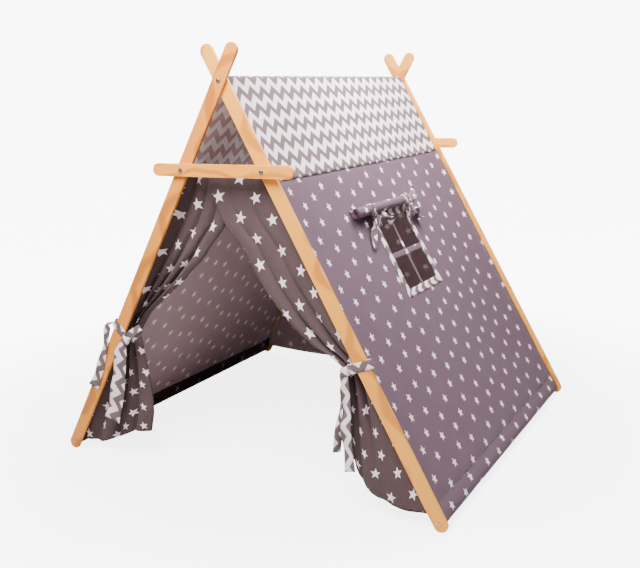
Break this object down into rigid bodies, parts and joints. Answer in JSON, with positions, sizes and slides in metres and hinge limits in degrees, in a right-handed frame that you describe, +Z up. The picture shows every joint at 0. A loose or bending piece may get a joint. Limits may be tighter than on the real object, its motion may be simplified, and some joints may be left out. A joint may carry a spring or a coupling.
{
  "type": "teepee tent",
  "caption": "Children's A-frame teepee tent: two crossed timber leaves on a ridge pole, crossbars, cotton canopy with tied door curtains and a rolled window flap.",
  "frame": {"origin": "on the floor, under the middle of the ridge pole", "axes": "+Z up, door facing -Y, window panel on +X"},
  "size_m": [1.296, 1.2592, 1.258],
  "materials": {
    "pine_legs": "smooth planed pale pine, clear matt",
    "pine_crossbars": "smooth planed pine, clear matt",
    "dowel": "turned pine dowel",
    "bolts": "dark plated domed head",
    "screws": "zinc plated",
    "inserts": "plated threaded sleeve",
    "side_cloth": "printed cotton, small white stars below a zigzag band",
    "back_cloth": "printed cotton, small white stars",
    "curtain_cloth": "printed cotton, larger white stars",
    "ribbon": "zigzag printed cotton ribbon",
    "flap_cloth": "printed cotton, rolled"
  },
  "bodies": {
    "right_leaf": {"front_right_leg": "pine_legs", "back_right_leg": "pine_legs", "right_bottom_rail": "dowel", "front_right_leg_foot_screw": "screws", "back_right_leg_foot_screw": "screws", "front_right_leg_insert": "inserts", "back_right_leg_insert": "inserts", "back_crossbar_pivot_bolt": "bolts", "ridge_pole": "dowel", "front_ridge_bolt": "bolts", "back_ridge_bolt": "bolts", "front_ridge_insert": "inserts", "back_ridge_insert": "inserts", "right_side_panel": "side_cloth", "back_panel": "back_cloth", "right_curtain": "curtain_cloth", "right_curtain_tie": "ribbon", "window_flap": "flap_cloth", "window_front_tie": "ribbon", "window_back_tie": "ribbon"},
    "left_leaf": {"front_left_leg": "pine_legs", "back_left_leg": "pine_legs", "left_bottom_rail": "dowel", "front_left_leg_foot_screw": "screws", "back_left_leg_foot_screw": "screws", "front_left_leg_insert": "inserts", "back_left_leg_insert": "inserts", "front_crossbar_pivot_bolt": "bolts", "left_side_panel": "side_cloth", "left_curtain": "curtain_cloth", "left_curtain_tie": "ribbon"},
    "front_bar": {"front_crossbar": "pine_crossbars", "front_crossbar_lock_bolt": "bolts"},
    "back_bar": {"back_crossbar": "pine_crossbars", "back_crossbar_lock_bolt": "bolts"}
  },
  "joints": [
    {"name": "frame_fold", "type": "hinge", "parent": "right_leaf", "child": "left_leaf", "pos_m": [0, 0, 1.16], "axis": [0, -1, 0], "range_deg": [0, 54], "deforming": ["back_panel", "right_curtain", "left_curtain", "right_curtain_tie", "left_curtain_tie"]},
    {"name": "front_crossbar_swing", "type": "hinge", "parent": "left_leaf", "child": "front_bar", "pos_m": [-0.13216, -0.621, 0.92], "axis": [0, 1, 0], "range_deg": [0, 108]},
    {"name": "back_crossbar_swing", "type": "hinge", "parent": "right_leaf", "child": "back_bar", "pos_m": [0.13216, 0.621, 0.92], "axis": [0, -1, 0], "range_deg": [0, 108]}
  ],
  "couplings": [
    {"joint": "front_crossbar_swing", "follows": "frame_fold", "ratio": 2},
    {"joint": "back_crossbar_swing", "follows": "frame_fold", "ratio": 2}
  ]
}
